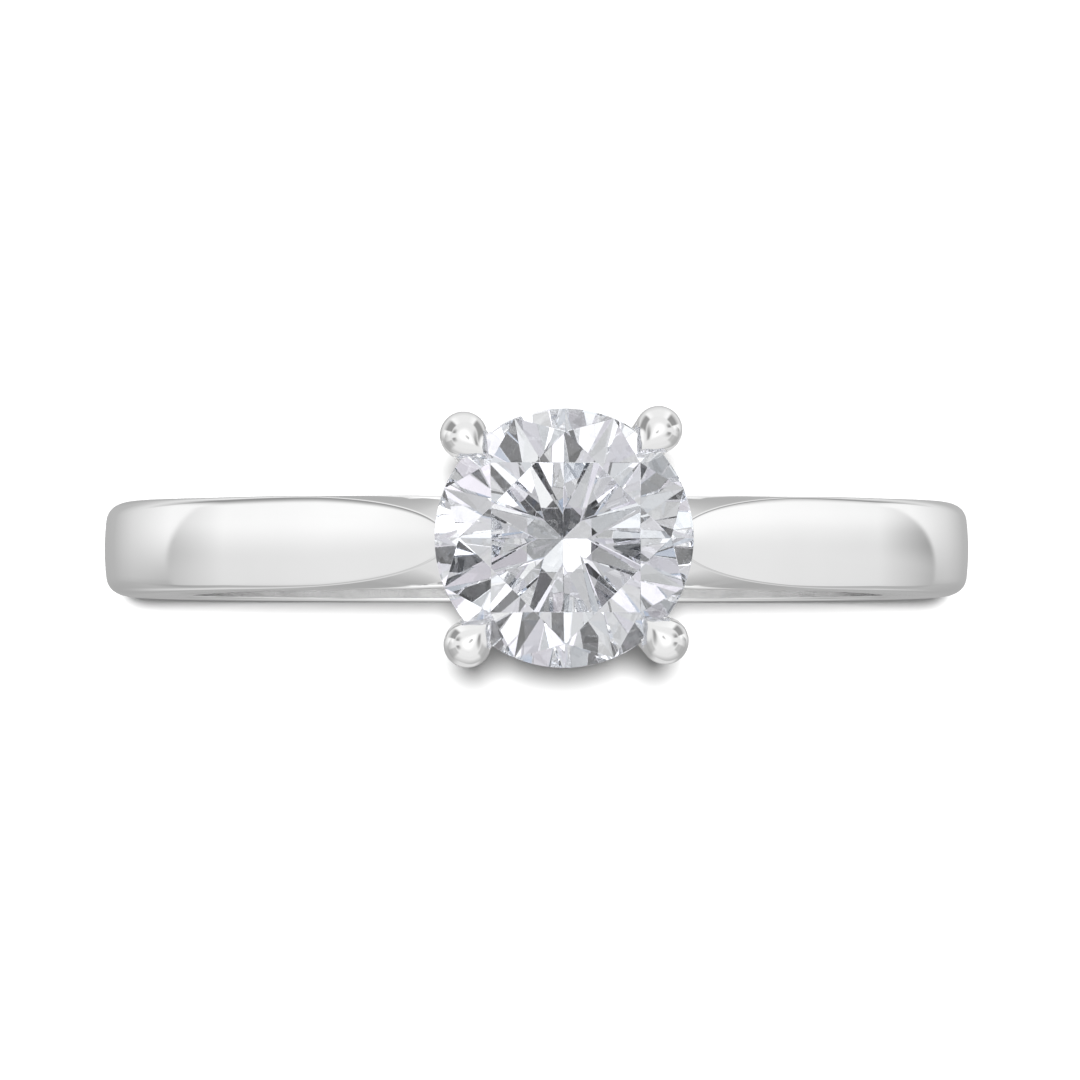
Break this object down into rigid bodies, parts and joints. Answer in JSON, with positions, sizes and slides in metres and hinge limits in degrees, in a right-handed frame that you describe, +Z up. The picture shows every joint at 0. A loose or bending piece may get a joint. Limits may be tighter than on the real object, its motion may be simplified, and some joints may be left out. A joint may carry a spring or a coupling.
{
  "type": "solitaire engagement ring",
  "caption": "Platinum solitaire ring: low-dome shank, upswept shoulders, open claw gallery and a round brilliant under pointed claws.",
  "frame": {"origin": "centre of the finger hole, on its axis and half way across the band", "axes": "+Y along the finger, +Z up through the stone, +X across the hoop to the right shoulder"},
  "size_m": [0.0204, 0.0059, 0.0239],
  "materials": {
    "platinum": "polished platinum 950, faint fine polishing marks",
    "diamond": "colourless faceted brilliant, polished facets, fine-ground girdle"
  },
  "bodies": {
    "root": {"shank": "platinum", "bridge": "platinum", "shoulder_left": "platinum", "shoulder_right": "platinum", "head_base": "platinum", "lower_gallery_rail": "platinum", "upper_gallery_rail": "platinum", "claw_ne": "platinum", "claw_nw": "platinum", "claw_sw": "platinum", "claw_se": "platinum", "diamond": "diamond"}
  },
  "joints": []
}
